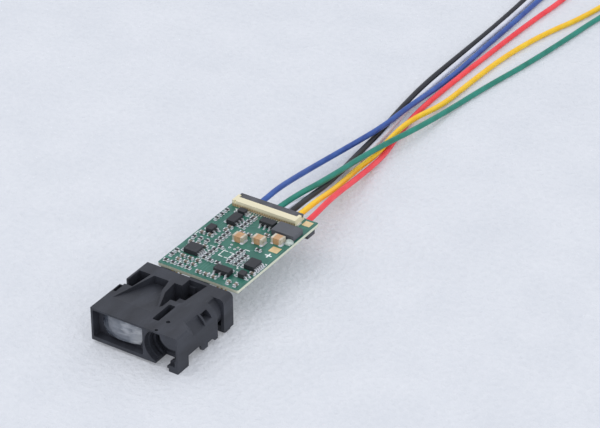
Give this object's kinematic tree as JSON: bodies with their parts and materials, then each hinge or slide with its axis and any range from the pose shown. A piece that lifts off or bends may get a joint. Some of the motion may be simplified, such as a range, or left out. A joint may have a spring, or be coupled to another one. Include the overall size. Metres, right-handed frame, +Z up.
{
  "type": "laser ranging module",
  "caption": "Small laser distance module: black moulded holder with a big flat-cut receiving lens and a laser mouth, green board with a flat-cable socket, and flying leads.",
  "frame": {"origin": "under the middle of the module's length and width, on the surface that its feet stand on; the flying leads are not counted", "axes": "+Z up; -Y is the way the laser and the receiving lens look, +Y runs along the board to the leads; +X is to the right for someone who faces the lenses"},
  "size_m": [0.0202, 0.1615, 0.0076],
  "materials": {
    "holder_plastic": "fine matt moulded black, glass filled",
    "lens_glass": "polished optical glass with a faint grey cast",
    "filter_glass": "dark red interference filter",
    "detector_metal": "plated can",
    "diode_metal": "gold plated can and flange",
    "barrel_metal": "blackened turned metal",
    "board_mask": "green solder mask over glass fibre, cream cut edges",
    "adhesive": "cured clear adhesive",
    "chip_plastic": "moulded epoxy packages",
    "lead_metal": "tinned leads and end caps",
    "tan_ceramic": "sintered ceramic",
    "pad_gold": "gold plated pads",
    "connector_plastic": "cream moulded housing",
    "flap_plastic": "dark moulded flap",
    "solder": "bright solder",
    "blue_insulation": "blue vinyl insulation, satin",
    "green_insulation": "green vinyl insulation, satin",
    "white_insulation": "white vinyl insulation, satin",
    "black_insulation": "black vinyl insulation, satin",
    "yellow_insulation": "yellow vinyl insulation, satin",
    "red_insulation": "red vinyl insulation, satin"
  },
  "bodies": {
    "module": {"optics_holder": "holder_plastic", "receiving_lens": "lens_glass", "receiver_filter": "filter_glass", "receiver_photodiode": "detector_metal", "photodiode_leads": "diode_metal", "laser_diode": "diode_metal", "diode_window": "lens_glass", "laser_diode_leads": "diode_metal", "main_board": "board_mask", "board_adhesive": "adhesive", "chip_leads": "lead_metal", "tan_capacitors": "tan_ceramic", "tan_capacitor_ends": "lead_metal", "chip_resistors": "chip_plastic", "chip_capacitors": "tan_ceramic", "underside_capacitors": "tan_ceramic", "chip_part_ends": "lead_metal", "underside_part_ends": "lead_metal", "test_pads": "pad_gold", "via_rings": "pad_gold", "processor_pads": "lead_metal", "fpc_housing": "connector_plastic", "fpc_contacts": "pad_gold", "fpc_hold_downs": "lead_metal", "stripped_cores": "lead_metal", "wire_pads": "lead_metal", "wire_solder": "solder", "receiver_amplifier": "chip_plastic", "laser_driver": "chip_plastic", "mixer_chip": "chip_plastic", "level_shifter": "chip_plastic", "voltage_reference": "chip_plastic", "comparator_chip": "chip_plastic", "small_regulator": "chip_plastic", "bias_switch": "chip_plastic", "power_inductor": "chip_plastic", "processor": "chip_plastic", "bias_coil": "chip_plastic", "blue_wire": "blue_insulation", "blue_wire_end": "lead_metal", "green_wire": "green_insulation", "green_wire_end": "lead_metal", "white_wire": "white_insulation", "white_wire_end": "lead_metal", "black_wire": "black_insulation", "black_wire_end": "lead_metal", "yellow_wire": "yellow_insulation", "yellow_wire_end": "lead_metal", "red_wire": "red_insulation", "red_wire_end": "lead_metal"},
    "collimator": {"collimator_barrel": "barrel_metal", "collimating_lens": "lens_glass", "lens_retainer": "barrel_metal"},
    "fpc_flap": {"fpc_flap": "flap_plastic"}
  },
  "joints": [
    {"name": "focus_turn", "type": "hinge", "parent": "module", "child": "collimator", "pos_m": [0.00525, -0.01615, 0.004], "axis": [0, -1, 0], "range_deg": [-180, 180]},
    {"name": "flap_hinge", "type": "hinge", "parent": "module", "child": "fpc_flap", "pos_m": [-0.0006, 0.01926, 0.00723], "axis": [1, 0, 0], "range_deg": [0, 90]}
  ]
}
